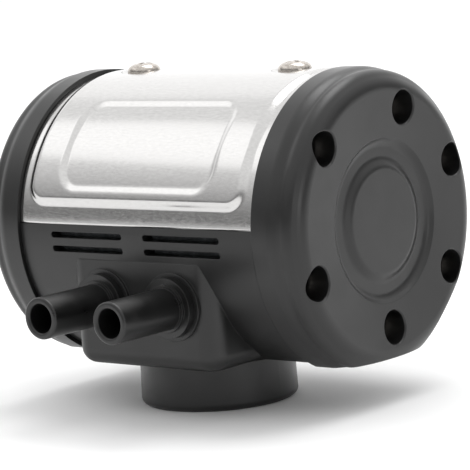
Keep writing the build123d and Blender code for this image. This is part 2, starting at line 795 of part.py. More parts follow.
def build_bush(side):
    with BuildPart() as bush:
        with BuildSketch(across(chamber_half, side)):
            Circle(bush_radius)
        extrude(amount=bush_length)
        with BuildSketch(across(chamber_half, side)):
            Circle(bush_flange_radius)
        extrude(amount=-bush_flange)
        with BuildSketch(across(chamber_half - bush_flange, side)):
            Circle(shaft_radius + running_clearance)
        extrude(amount=bush_flange + bush_length, mode=Mode.SUBTRACT)
    return bush


def build_shaft_seal(side):
    with BuildPart() as seal:
        with BuildSketch(across(chamber_half + bush_length, side)):
            Circle(bush_radius)
            Circle(shaft_radius + running_clearance, mode=Mode.SUBTRACT)
        extrude(amount=bowl_floor - chamber_half - bush_length)
    return seal


for name, side in sides:
    finish(build_cap(side), f"end_cap_{name}")
    finish(build_cap_screws(side), f"cap_screws_{name}")
    finish(build_cap_inserts(side), f"cap_inserts_{name}")
    finish(build_diaphragm(side), f"diaphragm_{name}")
    finish(build_plate(side, shaft_half), f"inner_plate_{name}")
    finish(build_plate(side, diaphragm_face), f"outer_plate_{name}")
    finish(build_plate_screw(side), f"plate_screw_{name}")
    finish(build_bush(side), f"shaft_bush_{name}")
    finish(build_shaft_seal(side), f"shaft_seal_{name}")


# Shaft, with tapped ends and a cross hole for the carrier's pin
with BuildPart() as shaft:
    with BuildSketch(across(-shaft_half)):
        Circle(shaft_radius)
    extrude(amount=2 * shaft_half)
    for side in (-1, 1):
        with BuildSketch(across(shaft_half, side)):
            Circle(plate_screw_radius + screw_slack)
        extrude(amount=-(plate_screw_grip + plate_tap_gap), mode=Mode.SUBTRACT)
    with BuildSketch(Plane.XY.offset(axis_height + 2 * shaft_radius)):
        with Locations((0, axis_setback)):
            Circle(pin_radius + screw_slack)
    extrude(amount=-4 * shaft_radius, mode=Mode.SUBTRACT)
finish(shaft, "shaft")

# Carrier that the shaft drives, with a pocket over the slide valve and a tab for the lever
pocket_half = slide_length / 2 + carrier_fit
with BuildPart() as valve_carrier:
    with BuildSketch(Plane.XY.offset(seat_level + carrier_lift)):
        with Locations((0, axis_setback)):
            Rectangle(2 * (pocket_half + carrier_wall), slide_width + 2 * (carrier_fit + carrier_wall))
    extrude(amount=axis_height + carrier_rise - seat_level - carrier_lift)
    fillet(valve_carrier.edges().group_by(Axis.Z)[-1], radius=carrier_round)
    with BuildSketch(Plane.XY.offset(seat_level)):
        with Locations((0, axis_setback)):
            Rectangle(2 * pocket_half, slide_width + 2 * carrier_fit)
    extrude(amount=axis_height - pocket_drop - seat_level, mode=Mode.SUBTRACT)
    with BuildSketch(across(-pocket_half - carrier_wall)):
        Circle(shaft_radius + screw_slack)
    extrude(amount=2 * (pocket_half + carrier_wall), mode=Mode.SUBTRACT)
    with BuildSketch(Plane.XY.offset(axis_height + carrier_rise)):
        with Locations((0, axis_setback)):
            Circle(pin_radius + screw_slack)
    extrude(amount=-(carrier_rise + pocket_drop), mode=Mode.SUBTRACT)
    carrier_rear = slide_width / 2 + carrier_fit + carrier_wall
    with BuildSketch(Plane.XY.offset(axis_height - tab_bottom_drop)):
        with Locations((0, axis_setback + carrier_rear - carrier_wall / 2)):
            Rectangle(2 * tab_half_width, drive_back + tab_end - carrier_rear + carrier_wall / 2,
                      align=(mid, low))
    extrude(amount=tab_bottom_drop + tab_rise)
    with BuildSketch(Plane.XY.offset(axis_height - tab_bottom_drop)):
        with Locations((0, drive_y)):
            SlotCenterToCenter(tab_slot_play, 2 * (pin_radius + lever_clearance), rotation=90)
    extrude(amount=tab_bottom_drop + tab_rise, mode=Mode.SUBTRACT)
finish(valve_carrier, "valve_carrier")

with BuildPart() as carrier_pin:
    with BuildSketch(Plane.XY.offset(axis_height - pocket_drop)):
        with Locations((0, axis_setback)):
            Circle(pin_radius)
    extrude(amount=pocket_drop + carrier_rise)
finish(carrier_pin, "carrier_pin")

# D-shaped slide valve that joins one pulse port at a time to the vacuum port
with BuildPart() as slide_valve:
    with BuildSketch(Plane.XY.offset(slide_base)):
        with Locations((0, axis_setback)):
            Rectangle(slide_length, slide_width)
    extrude(amount=slide_height)
    chamfer(slide_valve.edges().group_by(Axis.Z)[-1], length=slide_edge)
    with BuildSketch(Plane.XY.offset(slide_base)):
        with Locations((0, axis_setback)):
            RectangleRounded(slide_cavity_length, slide_cavity_width, slide_cavity_round)
    extrude(amount=slide_cavity_depth, mode=Mode.SUBTRACT)
finish(slide_valve, "slide_valve")

# bowed leaf spring that holds the slide valve on its seat
spring_floor = slide_base + slide_height - axis_height
spring_bow = -pocket_drop - spring_floor - spring_thickness
with BuildPart() as valve_spring:
    with BuildSketch(Plane(origin=(0, axis_setback + spring_width / 2, axis_height), x_dir=(1, 0, 0),
                           z_dir=(0, -1, 0))):
        with BuildLine():
            ThreePointArc((-spring_length / 2, spring_floor), (0, spring_floor + spring_bow),
                          (spring_length / 2, spring_floor))
            Line((spring_length / 2, spring_floor), (spring_length / 2, spring_floor + spring_thickness))
            ThreePointArc((spring_length / 2, spring_floor + spring_thickness),
                          (0, spring_floor + spring_bow + spring_thickness),
                          (-spring_length / 2, spring_floor + spring_thickness))
            Line((-spring_length / 2, spring_floor + spring_thickness), (-spring_length / 2, spring_floor))
        make_face()
    extrude(amount=spring_width)
finish(valve_spring, "valve_spring")


# Valve seat and its gasket, with the vacuum port between the two pulse ports
def ported_plate(level, thickness):
    with BuildPart() as plate:
        with BuildSketch(Plane.XY.offset(level)):
            with Locations((0, axis_setback)):
                Rectangle(seat_length, seat_width)
            with Locations(*[(place * pulse_port_spread, axis_setback) for place in (-1, 0, 1)]):
                Rectangle(port_width, port_length, mode=Mode.SUBTRACT)
            with Locations(*seat_points):
                Circle(seat_screw_radius + screw_clearance, mode=Mode.SUBTRACT)
        extrude(amount=thickness)
    return plate


finish(ported_plate(deck_level, seat_gasket_thickness), "seat_gasket")
finish(ported_plate(deck_level + seat_gasket_thickness, seat_thickness), "valve_seat")

with BuildPart() as seat_screws:
    with BuildSketch(Plane.XY.offset(seat_level)):
        with Locations(*seat_points):
            Circle(seat_head_radius)
    extrude(amount=seat_head_height)
    with BuildSketch(Plane.XY.offset(seat_level)):
        with Locations(*seat_points):
            Circle(seat_screw_radius)
    extrude(amount=-(seat_level - deck_level + seat_screw_grip - seat_screw_gap))
    extrude(cross_slots(Plane.XY.offset(seat_level + seat_head_height), seat_points,
                        seat_head_radius / 2, seat_cross_width),
            amount=-seat_head_height / 2, mode=Mode.SUBTRACT)
finish(seat_screws, "seat_screws")


# Pilot valve on its own seat, moved by a lever that follows the carrier
with BuildPart() as pilot_seat:
    with BuildSketch(Plane.XY.offset(deck_level)):
        with Locations((0, pilot_y)):
            Rectangle(pilot_seat_length, pilot_seat_width)
        with Locations(*[(place * pilot_port_spread, pilot_y) for place in (-1, 0, 1)]):
            Circle(pilot_port_radius, mode=Mode.SUBTRACT)
    extrude(amount=pilot_seat_thickness)
finish(pilot_seat, "pilot_seat")

with BuildPart() as pilot_valve:
    with BuildSketch(Plane.XY.offset(pilot_base)):
        with Locations((0, pilot_y)):
            Rectangle(pilot_length, pilot_width)
    extrude(amount=pilot_height)
    chamfer(pilot_valve.edges().group_by(Axis.Z)[-1], length=pilot_edge)
    with BuildSketch(Plane.XY.offset(pilot_base)):
        with Locations((0, pilot_y)):
            RectangleRounded(pilot_cavity_length, pilot_cavity_width, pilot_cavity_round)
    extrude(amount=pilot_cavity_depth, mode=Mode.SUBTRACT)
    with BuildSketch(Plane.XY.offset(pilot_base + pilot_height)):
        with Locations((0, pilot_y)):
            SlotOverall(pilot_slot_length, 2 * (pin_radius + lever_clearance), rotation=90)
    extrude(amount=-pilot_slot_depth, mode=Mode.SUBTRACT)
finish(pilot_valve, "pilot_valve")

lever_bottom = lever_top - lever_thickness
with BuildPart() as pilot_lever:
    with BuildSketch(Plane.XY.offset(lever_bottom)):
        with Locations((0, (drive_y + lever_y) / 2)):
            SlotCenterToCenter(lever_y - drive_y, lever_width, rotation=90)
        with Locations((0, lever_y)):
            Circle(lever_post_radius)
    extrude(amount=lever_thickness)
    with BuildSketch(Plane.XY.offset(lever_top)):
        with Locations((0, drive_y)):
            Circle(pin_radius)
    extrude(amount=lever_top_drop + tab_rise - lever_clearance)
    with BuildSketch(Plane.XY.offset(lever_bottom)):
        with Locations((0, pilot_y)):
            Circle(pin_radius)
    extrude(amount=-(lever_bottom - pilot_base - pilot_height + pilot_slot_depth - lever_clearance))
    with BuildSketch(Plane.XY.offset(lever_top)):
        with Locations((0, lever_y)):
            Circle(lever_pin_radius + running_clearance)
    extrude(amount=-lever_thickness, mode=Mode.SUBTRACT)
finish(pilot_lever, "pilot_lever")

with BuildPart() as lever_pin:
    with BuildSketch(Plane.XY.offset(deck_level - lever_pin_sunk)):
        with Locations((0, lever_y)):
            Circle(lever_pin_radius)
    extrude(amount=lever_top + lever_clearance - deck_level + lever_pin_sunk)
    with BuildSketch(Plane.XY.offset(lever_top + lever_clearance)):
        with Locations((0, lever_y)):
            Circle(lever_pin_head)
    extrude(amount=lever_pin_head_height)
finish(lever_pin, "lever_pin")


# Air filter behind the vent slots, held by a pierced spring clip
def filter_band(outer, inner, height):
    Circle(outer)
    Circle(inner, mode=Mode.SUBTRACT)
    with Locations((-drum_radius, -deck_drop + filter_gap)):
        Rectangle(drum_radius, height, align=(mid, low), mode=Mode.INTERSECT)


filter_half = chamber_half - filter_gap
filter_outer = inner_radius - filter_gap
with BuildPart() as air_filter:
    with BuildSketch(across(-filter_half)):
        filter_band(filter_outer, filter_outer - filter_depth, deck_drop + filter_rise - filter_gap)
    extrude(amount=2 * filter_half)
finish(air_filter, "air_filter")

clip_outer = filter_outer - filter_depth
with BuildPart() as filter_clip:
    with BuildSketch(across(-filter_half)):
        filter_band(clip_outer, clip_outer - clip_thickness, deck_drop + filter_rise - filter_gap)
    extrude(amount=2 * filter_half)
    window_pitch = 2 * filter_half / clip_windows
    with BuildSketch(facing_front(axis_setback - drum_radius, 0, axis_height)):
        for number in range(clip_windows):
            for rise in (-deck_drop / 2, deck_drop / 4):
                with Locations(((number + 0.5) * window_pitch - filter_half, rise)):
                    SlotOverall(clip_window * 1.3, clip_window)
    extrude(amount=-drum_radius / 2, mode=Mode.SUBTRACT)
finish(filter_clip, "filter_clip")


# Nozzles for the two pulse tubes, each pushed into the block on a seal
def build_nozzle(side):
    plane = Plane(origin=(side * nozzle_spread, front_face, nozzle_level), x_dir=(0, -1, 0), z_dir=(1, 0, 0))
    flange_end = nozzle_ring + nozzle_flange
    with BuildPart() as nozzle:
        with BuildSketch(plane) as nozzle_profile:
            with BuildLine():
                Polyline((-nozzle_spigot, nozzle_bore_radius), (nozzle_length, nozzle_bore_radius),
                         (nozzle_length, nozzle_radius), (flange_end + nozzle_step, nozzle_radius),
                         (flange_end + nozzle_step, nozzle_step_radius), (flange_end, nozzle_step_radius),
                         (flange_end, nozzle_flange_radius), (nozzle_ring, nozzle_flange_radius),
                         (nozzle_ring, nozzle_spigot_radius - spigot_fit),
                         (-nozzle_spigot, nozzle_spigot_radius - spigot_fit), close=True)
            make_face()
            tip_corners = nozzle_profile.vertices().sort_by(Axis.X)[-2:]
            fillet(tip_corners, radius=nozzle_tip_round)
        revolve(axis=Axis((side * nozzle_spread, front_face, nozzle_level), (0, -1, 0)))
        with BuildSketch(plane):
            with Locations((-nozzle_spigot / 2, nozzle_spigot_radius)):
                Rectangle(2 * nozzle_seal_section, 4 * nozzle_seal_section)
        revolve(axis=Axis((side * nozzle_spread, front_face, nozzle_level), (0, -1, 0)), mode=Mode.SUBTRACT)
    return nozzle


def build_nozzle_seal(side):
    plane = Plane(origin=(side * nozzle_spread, front_face, nozzle_level), x_dir=(0, -1, 0), z_dir=(1, 0, 0))
    with BuildPart() as seal:
        with BuildSketch(plane):
            with Locations((-nozzle_spigot / 2, nozzle_spigot_radius - nozzle_seal_section)):
                Circle(nozzle_seal_section)
        revolve(axis=Axis((side * nozzle_spread, front_face, nozzle_level), (0, -1, 0)))
    return seal


for name, side in sides:
    finish(build_nozzle(side), f"nozzle_{name}")
    finish(build_nozzle_seal(side), f"nozzle_seal_{name}")


# Rate screw that throttles the right-hand control duct
with BuildPart() as rate_screw:
    head_back = rate_plane.offset(-rate_head_height)
    with BuildSketch(rate_plane):
        Circle(rate_head_radius)
    extrude(amount=-rate_head_height)
    with BuildSketch(head_back):
        Circle(rate_screw_radius)
    extrude(amount=-(rate_boss_back - rate_head_height - pilot_back - rate_tip_length - lever_clearance))
    with BuildSketch(head_back):
        Circle(rate_tip_radius)
    extrude(amount=-(rate_boss_back - rate_head_height - pilot_back))
    with BuildSketch(rate_plane):
        Rectangle(3 * rate_head_radius, rate_slot)
    extrude(amount=-rate_head_height / 2, mode=Mode.SUBTRACT)
finish(rate_screw, "rate_screw")

with BuildPart() as rate_screw_seal:
    seal_radius = rate_screw_radius + running_clearance + rate_seal_section
    seal_middle = axis_setback + rate_boss_back - rate_seal_depth - rate_seal_section
    with BuildSketch(Plane(origin=(rate_x, seal_middle, axis_height - duct_drop))):
        with Locations((seal_radius, 0)):
            Circle(rate_seal_section)
    revolve(axis=Axis((rate_x, seal_middle, axis_height - duct_drop), (0, 1, 0)))
finish(rate_screw_seal, "rate_screw_seal")
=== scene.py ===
from math import asin, cos, hypot, pi, radians, sin

import bpy
from mathutils import Matrix, Vector


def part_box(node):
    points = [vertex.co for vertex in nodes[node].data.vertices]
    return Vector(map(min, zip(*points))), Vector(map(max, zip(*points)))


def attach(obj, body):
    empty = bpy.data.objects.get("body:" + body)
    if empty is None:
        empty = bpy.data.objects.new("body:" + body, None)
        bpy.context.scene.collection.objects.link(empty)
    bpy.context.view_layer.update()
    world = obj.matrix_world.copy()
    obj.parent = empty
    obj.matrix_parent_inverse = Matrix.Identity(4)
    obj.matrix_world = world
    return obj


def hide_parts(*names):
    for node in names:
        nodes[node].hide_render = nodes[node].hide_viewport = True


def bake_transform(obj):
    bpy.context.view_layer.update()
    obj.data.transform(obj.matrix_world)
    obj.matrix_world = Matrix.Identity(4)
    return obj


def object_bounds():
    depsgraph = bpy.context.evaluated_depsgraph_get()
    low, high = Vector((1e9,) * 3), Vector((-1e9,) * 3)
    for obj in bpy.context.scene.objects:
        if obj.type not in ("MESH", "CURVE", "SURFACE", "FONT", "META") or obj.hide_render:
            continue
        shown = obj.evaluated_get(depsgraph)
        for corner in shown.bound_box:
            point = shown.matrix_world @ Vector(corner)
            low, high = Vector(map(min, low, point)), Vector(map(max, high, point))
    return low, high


mm = 0.001

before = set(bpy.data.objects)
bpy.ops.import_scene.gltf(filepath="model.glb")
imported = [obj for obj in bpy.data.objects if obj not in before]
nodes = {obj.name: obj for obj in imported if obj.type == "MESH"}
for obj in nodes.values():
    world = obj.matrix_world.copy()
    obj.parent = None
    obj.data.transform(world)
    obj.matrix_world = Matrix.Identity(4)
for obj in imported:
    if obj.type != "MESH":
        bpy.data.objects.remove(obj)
cadLow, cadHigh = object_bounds()
scene = bpy.context.scene

# the drum's axis, read from a cap: it is round above the middle
capLow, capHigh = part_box("end_cap_right")
drumY = (capLow.y + capHigh.y) / 2
drumZ = capHigh.z - (capHigh.y - capLow.y) / 2
print("frame loaded,", len(nodes), "nodes, drum axis at", round(drumY, 4), round(drumZ, 4))


def toLinear(code):
    # sRGB hex value to the linear colour that a shader takes
    parts = [int(code[i:i + 2], 16) / 255 for i in (1, 3, 5)]
    return [c / 12.92 if c <= 0.04045 else ((c + 0.055) / 1.055) ** 2.4 for c in parts] + [1]


def addNode(tree, kind, settings=None, values=None, links=None):
    # one shader node, with its properties, its constant inputs and the outputs wired into it
    node = tree.nodes.new("ShaderNode" + kind)
    for key, value in (settings or {}).items():
        setattr(node, key, value)
    for key, value in (values or {}).items():
        node.inputs[key].default_value = value
    for key, (source, output) in (links or {}).items():
        tree.links.new(source.outputs[output], node.inputs[key])
    return node


def newMaterial(name):
    material = bpy.data.materials.new(name)
    material.use_nodes = True
    material.node_tree.nodes.clear()
    return material, material.node_tree


def closeMaterial(tree, shader):
    addNode(tree, "OutputMaterial", links={"Surface": (shader, "BSDF")})


def perMillimetre(size):
    # texture scale for a pattern of that size in millimetres, in object coordinates
    return 1 / (size * mm)


def mouldedPlastic(name, look):
    # glass-filled nylon out of a spark-eroded mould: satin, a fine grain, faint flow marks
    material, tree = newMaterial(name)
    place = addNode(tree, "TexCoord")
    grain = addNode(tree, "TexNoise", values={"Scale": perMillimetre(look["grain"]), "Detail": 3.0},
                    links={"Vector": (place, "Object")})
    flow = addNode(tree, "TexNoise", values={"Scale": perMillimetre(look["flow"]), "Detail": 4.0,
                                             "Roughness": 0.6}, links={"Vector": (place, "Object")})
    tone = addNode(tree, "ValToRGB", links={"Fac": (flow, "Fac")})
    tone.color_ramp.elements[0].position = 0.3
    tone.color_ramp.elements[0].color = toLinear(look["dark"])
    tone.color_ramp.elements[1].position = 0.75
    tone.color_ramp.elements[1].color = toLinear(look["light"])
    polish = addNode(tree, "MapRange", values={"From Min": 0.3, "From Max": 0.7,
                                               "To Min": look["roughness"] - 0.05,
                                               "To Max": look["roughness"] + 0.06},
                     links={"Value": (flow, "Fac")})
    edges = addNode(tree, "Bevel", settings={"samples": 4}, values={"Radius": look["edge"] * mm})
    relief = addNode(tree, "Bump", values={"Strength": look["relief"], "Distance": 0.05 * mm},
                     links={"Height": (grain, "Fac"), "Normal": (edges, "Normal")})
    shader = addNode(tree, "BsdfPrincipled", values={"IOR": 1.53},
                     links={"Base Color": (tone, "Color"), "Roughness": (polish, "Result"),
                            "Normal": (relief, "Normal")})
    closeMaterial(tree, shader)
    return material


def metal(name, look):
    # bare metal: two tones of tarnish or draw marks, and scratches that vary the polish
    material, tree = newMaterial(name)
    place = addNode(tree, "TexCoord")
    stretch = addNode(tree, "Mapping", links={"Vector": (place, "Object")})
    stretch.inputs["Scale"].default_value = look["stretch"]
    marks = addNode(tree, "TexNoise", values={"Scale": perMillimetre(look["marks"]), "Detail": 6.0,
                                              "Roughness": 0.65}, links={"Vector": (stretch, "Vector")})
    wave = addNode(tree, "TexNoise", values={"Scale": perMillimetre(look["wave"]), "Detail": 1.0},
                   links={"Vector": (place, "Object")})
    tone = addNode(tree, "ValToRGB", links={"Fac": (marks, "Fac")})
    tone.color_ramp.elements[0].position = 0.35
    tone.color_ramp.elements[0].color = toLinear(look["dark"])
    tone.color_ramp.elements[1].position = 0.65
    tone.color_ramp.elements[1].color = toLinear(look["light"])
    polish = addNode(tree, "MapRange", values={"From Min": 0.35, "From Max": 0.65,
                                               "To Min": look["roughness"] * 0.8,
                                               "To Max": look["roughness"] * 1.25},
                     links={"Value": (marks, "Fac")})
    edges = addNode(tree, "Bevel", settings={"samples": 4}, values={"Radius": look["edge"] * mm})
    sway = addNode(tree, "Bump", values={"Strength": look["sway"], "Distance": 0.2 * mm},
                   links={"Height": (wave, "Fac"), "Normal": (edges, "Normal")})
    relief = addNode(tree, "Bump", values={"Strength": look["relief"], "Distance": 0.02 * mm},
                     links={"Height": (marks, "Fac"), "Normal": (sway, "Normal")})
    shader = addNode(tree, "BsdfPrincipled", values={"Metallic": 1.0},
                     links={"Base Color": (tone, "Color"), "Roughness": (polish, "Result"),
                            "Normal": (relief, "Normal")})
    closeMaterial(tree, shader)
    return material


def softMaterial(name, look):
    # rubber or open-cell foam: matt, with pores or bloom of one size
    material, tree = newMaterial(name)
    place = addNode(tree, "TexCoord")
    pores = addNode(tree, "TexVoronoi", values={"Scale": perMillimetre(look["pores"])},
                    links={"Vector": (place, "Object")})
    bloom = addNode(tree, "TexNoise", values={"Scale": perMillimetre(look["bloom"]), "Detail": 4.0},
                    links={"Vector": (place, "Object")})
    tone = addNode(tree, "ValToRGB", links={"Fac": (bloom, "Fac")})
    tone.color_ramp.elements[0].position = 0.35
    tone.color_ramp.elements[0].color = toLinear(look["dark"])
    tone.color_ramp.elements[1].position = 0.7
    tone.color_ramp.elements[1].color = toLinear(look["light"])
    relief = addNode(tree, "Bump", values={"Strength": look["relief"], "Distance": 0.3 * mm},
                     links={"Height": (pores, "Distance")})
    shader = addNode(tree, "BsdfPrincipled", values={"Roughness": look["roughness"], "IOR": 1.52},
                     links={"Base Color": (tone, "Color"), "Normal": (relief, "Normal")})
    closeMaterial(tree, shader)
    return material


# sizes in a look are millimetres
plasticLooks = {
    # satin charcoal, as all the outer mouldings are
    "mouldedNylonBody": {"dark": "#151515", "light": "#1b1b1b", "roughness": 0.38, "grain": 0.35,
                         "flow": 9.0, "relief": 0.25, "edge": 0.35},
    # the caps: the same charcoal painted darker, as painted shade on the cap faces
    "shadedNylonCap": {"dark": "#101010", "light": "#151515", "roughness": 0.34, "grain": 0.35,
                        "flow": 11.0, "relief": 0.22, "edge": 0.35},
    "mouldedNylonSocket": {"dark": "#141414", "light": "#1a1a1a", "roughness": 0.38, "grain": 0.35,
                           "flow": 8.0, "relief": 0.25, "edge": 0.4},
    # a little glossier and darker, the tubes come from a polished cavity
    "mouldedNylonNozzle": {"dark": "#0e0e0e", "light": "#131313", "roughness": 0.32, "grain": 0.3,
                           "flow": 6.0, "relief": 0.18, "edge": 0.3},
    # acetal bushes, cream and waxy
    "turnedAcetalBush": {"dark": "#d9d4c6", "light": "#e9e5d8", "roughness": 0.38, "grain": 0.25,
                         "flow": 4.0, "relief": 0.12, "edge": 0.15},
    # graphite-filled slide valves, nearly black with a dry sheen
    "graphiteFilledValve": {"dark": "#18191a", "light": "#242526", "roughness": 0.5, "grain": 0.2,
                            "flow": 3.0, "relief": 0.2, "edge": 0.15},
    # natural grey carrier and lever mouldings
    "mouldedAcetalCarrier": {"dark": "#5b5f63", "light": "#6c7074", "roughness": 0.42, "grain": 0.25,
                             "flow": 5.0, "relief": 0.18, "edge": 0.2},
}
metalLooks = {
    # bright pressed sheet: mirror-like, with a slight sway from the press
    "pressedStainless": {"dark": "#c6c5c4", "light": "#cfcecd", "roughness": 0.17, "marks": 0.5,
                         "stretch": (0.3, 1, 1), "wave": 16.0, "sway": 0.1, "relief": 0.05,
                         "edge": 0.1},
    # plated screws, a touch warm
    "platedSteelScrew": {"dark": "#a8a19a", "light": "#c9c3bc", "roughness": 0.24, "marks": 0.6,
                         "stretch": (1, 1, 1), "wave": 3.0, "sway": 0.05, "relief": 0.1,
                         "edge": 0.12},
    "groundSteelShaft": {"dark": "#a9abad", "light": "#c6c8ca", "roughness": 0.16, "marks": 0.4,
                         "stretch": (6, 1, 1), "wave": 8.0, "sway": 0.02, "relief": 0.06,
                         "edge": 0.15},
    "lappedSteelSeat": {"dark": "#a0a2a4", "light": "#bcbec0", "roughness": 0.22, "marks": 0.5,
                        "stretch": (1, 1, 1), "wave": 8.0, "sway": 0.02, "relief": 0.08,
                        "edge": 0.12},
    "blueSpringSteel": {"dark": "#8c9299", "light": "#aab0b6", "roughness": 0.26, "marks": 0.5,
                        "stretch": (0.3, 1, 1), "wave": 5.0, "sway": 0.04, "relief": 0.08,
                        "edge": 0.05},
    "turnedBrass": {"dark": "#a8854a", "light": "#cfac68", "roughness": 0.25, "marks": 0.5,
                    "stretch": (1, 1, 4), "wave": 4.0, "sway": 0.03, "relief": 0.08, "edge": 0.12},
    "stampedAluminium": {"dark": "#a9aaac", "light": "#c4c5c7", "roughness": 0.32, "marks": 0.5,
                         "stretch": (1, 1, 1), "wave": 6.0, "sway": 0.04, "relief": 0.1,
                         "edge": 0.12},
}
softLooks = {
    # nitrile seals, diaphragms and the sleeve, matt black with a grey bloom
    "mouldedNitrile": {"dark": "#141415", "light": "#202123", "roughness": 0.62, "pores": 0.8,
                       "bloom": 5.0, "relief": 0.08},
    # open-cell air filter, cells drawn at their real millimetre
    "openCellFoam": {"dark": "#3f4244", "light": "#5c6063", "roughness": 0.9, "pores": 1.0,
                     "bloom": 3.0, "relief": 0.9},
}
materials = {name: mouldedPlastic(name, look) for name, look in plasticLooks.items()}
materials.update({name: metal(name, look) for name, look in metalLooks.items()})
materials.update({name: softMaterial(name, look) for name, look in softLooks.items()})

# the finish of every packed slot
slotMaterials = {
    "body_plastic": "mouldedNylonBody", "cap_plastic": "shadedNylonCap",
    "socket_plastic": "mouldedNylonSocket", "nozzle_plastic": "mouldedNylonNozzle",
    "stainless": "pressedStainless", "screw_steel": "platedSteelScrew",
    "spring_steel": "blueSpringSteel", "shaft_steel": "groundSteelShaft", "brass": "turnedBrass",
    "bush_plastic": "turnedAcetalBush", "seat_steel": "lappedSteelSeat",
    "valve_plastic": "graphiteFilledValve", "carrier_plastic": "mouldedAcetalCarrier",
    "plate_aluminium": "stampedAluminium", "rubber": "mouldedNitrile", "foam": "openCellFoam",
}
for node in nodes.values():
    for place in node.material_slots:
        slotName = place.material.name.split(".")[0]
        place.material = materials[slotMaterials[slotName]]
print("materials made:", len(materials))


def smoothStep(value):
    value = min(max(value, 0.0), 1.0)
    return value * value * (3 - 2 * value)


def roundedBoxDistance(x, y, halfX, halfY, corner):
    # distance outside a rounded rectangle, negative inside
    dx, dy = abs(x) - halfX + corner, abs(y) - halfY + corner
    return hypot(max(dx, 0), max(dy, 0)) + min(max(dx, dy), 0) - corner


def newPiece(name, points, faces, material, smooth=True):
    mesh = bpy.data.meshes.new(name)
    mesh.from_pydata(points, [], faces)
    mesh.update()
    mesh.materials.append(material)
    if smooth:
        mesh.shade_smooth()
    piece = bpy.data.objects.new(name, mesh)
    scene.collection.objects.link(piece)
    return piece


# Pressed cover: a half drum of sheet with a raised field, two shallow panels and screw dishes
coverPressing = {
    "flange": 4.0,            # plain margin at each end
    "flangeFoot": 6.0,        # plain margin above the lower edges
    "fieldRise": 1.0,
    "fieldCorner": 5.0,
    "fieldStep": 2.6,         # width of the rounded step
    "panelHalf": 27.0,        # half length of a panel
    "panelStart": 23.5,       # from the crown, along the sheet
    "panelEnd": 50.5,
    "panelCorner": 6.0,
    "panelStep": 2.4,
    "panelDepth": 0.6,
    "dish": 5.6,              # flat seat of a screw
    "dishStep": 1.8,
    "screwHole": 2.6,
    "sheet": 0.8,
    "spacing": 0.45,          # of the mesh
    "flatReach": 15.0,        # from the crown, as far as a dish can be
}
coverLow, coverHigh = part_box("cover")
screwLow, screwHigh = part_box("cover_screws")
coverRadius = (coverHigh.z - drumZ) / mm - coverPressing["fieldRise"]
screwHeadRadius = (screwHigh.y - screwLow.y) / 2 / mm
screwSpread = screwHigh.x / mm - screwHeadRadius
coverEnd = coverHigh.x / mm
coverFoot = coverRadius * (pi / 2 - asin((coverLow.z - drumZ) / mm / coverRadius))


def coverHeight(x, along):
    # millimetres above the plain sheet, at x and at a distance along the sheet from the crown
    pressing = coverPressing
    field = roundedBoxDistance(x, along, coverEnd - pressing["flange"],
                               coverFoot - pressing["flangeFoot"], pressing["fieldCorner"])
    height = pressing["fieldRise"] * smoothStep(0.5 - field / pressing["fieldStep"])
    middle = (pressing["panelStart"] + pressing["panelEnd"]) / 2
    panel = roundedBoxDistance(x, abs(along) - middle, pressing["panelHalf"],
                               (pressing["panelEnd"] - pressing["panelStart"]) / 2, pressing["panelCorner"])
    height -= pressing["panelDepth"] * smoothStep(0.5 - panel / pressing["panelStep"])
    fromScrew = hypot(abs(x) - screwSpread, along)
    share = smoothStep(0.5 - (fromScrew - pressing["dish"]) / pressing["dishStep"])
    flat = 0
    if abs(along) < pressing["flatReach"]:
        flat = coverRadius / cos(along / coverRadius) - coverRadius
    return height * (1 - share) + flat * share


def makeCover():
    end, foot = coverEnd, coverFoot
    columns = round(2 * end / coverPressing["spacing"])
    rows = round(2 * foot / coverPressing["spacing"])
    points, faces = [], []
    for i in range(columns + 1):
        x = -end + 2 * end * i / columns
        for j in range(rows + 1):
            along = -foot + 2 * foot * j / rows
            radius = coverRadius + coverHeight(x, along)
            turn = along / coverRadius
            points.append((x * mm, drumY + radius * sin(turn) * mm, drumZ + radius * cos(turn) * mm))
    for i in range(columns):
        x = -end + 2 * end * (i + 0.5) / columns
        for j in range(rows):
            along = -foot + 2 * foot * (j + 0.5) / rows
            if hypot(abs(x) - screwSpread, along) < coverPressing["screwHole"]:
                continue
            a = i * (rows + 1) + j
            faces.append((a, a + rows + 1, a + rows + 2, a + 1))
    cover = newPiece("pressedCover", points, faces, materials["pressedStainless"])
    sheet = cover.modifiers.new("sheet", "SOLIDIFY")
    sheet.thickness = coverPressing["sheet"] * mm
    sheet.offset = -1
    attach(cover, "body")
    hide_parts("cover")


makeCover()
print("cover made")


# Screws: domed pan heads with a tapered cross recess
screwCross = {"taper": 0.25, "endSlope": 0.8, "wallFade": 0.28, "endFade": 0.9}
screwPoint = 0.8              # the shank's chamfered end, and its plain start under the head
crispAngle = 50
coverScrew = {"headRadius": screwHeadRadius, "headHeight": (screwHigh.z - drumZ) / mm - coverRadius,
              "rim": 0.7, "roundness": 2.3, "cross": 2.7, "crossWidth": 0.62, "crossDepth": 1.9,
              "shank": 2.5, "length": 10.0, "turns": (17, 62)}
capScrew = {"headRadius": 3.9, "headHeight": 2.8, "rim": 0.9, "roundness": 2.6, "cross": 2.3,
            "crossWidth": 0.55, "crossDepth": 1.5, "shank": 2.0, "length": 11.0,
            "turns": (12, 55, 31, 78, 5, 40)}
capScrewPlaces = ((22, 33.6), (71, 31.0), (138, 33.4), (201, 33.4), (271, 29.0), (329, 32.6))
capScrewSeat = 3.5            # above the seam, at the floor of its recess


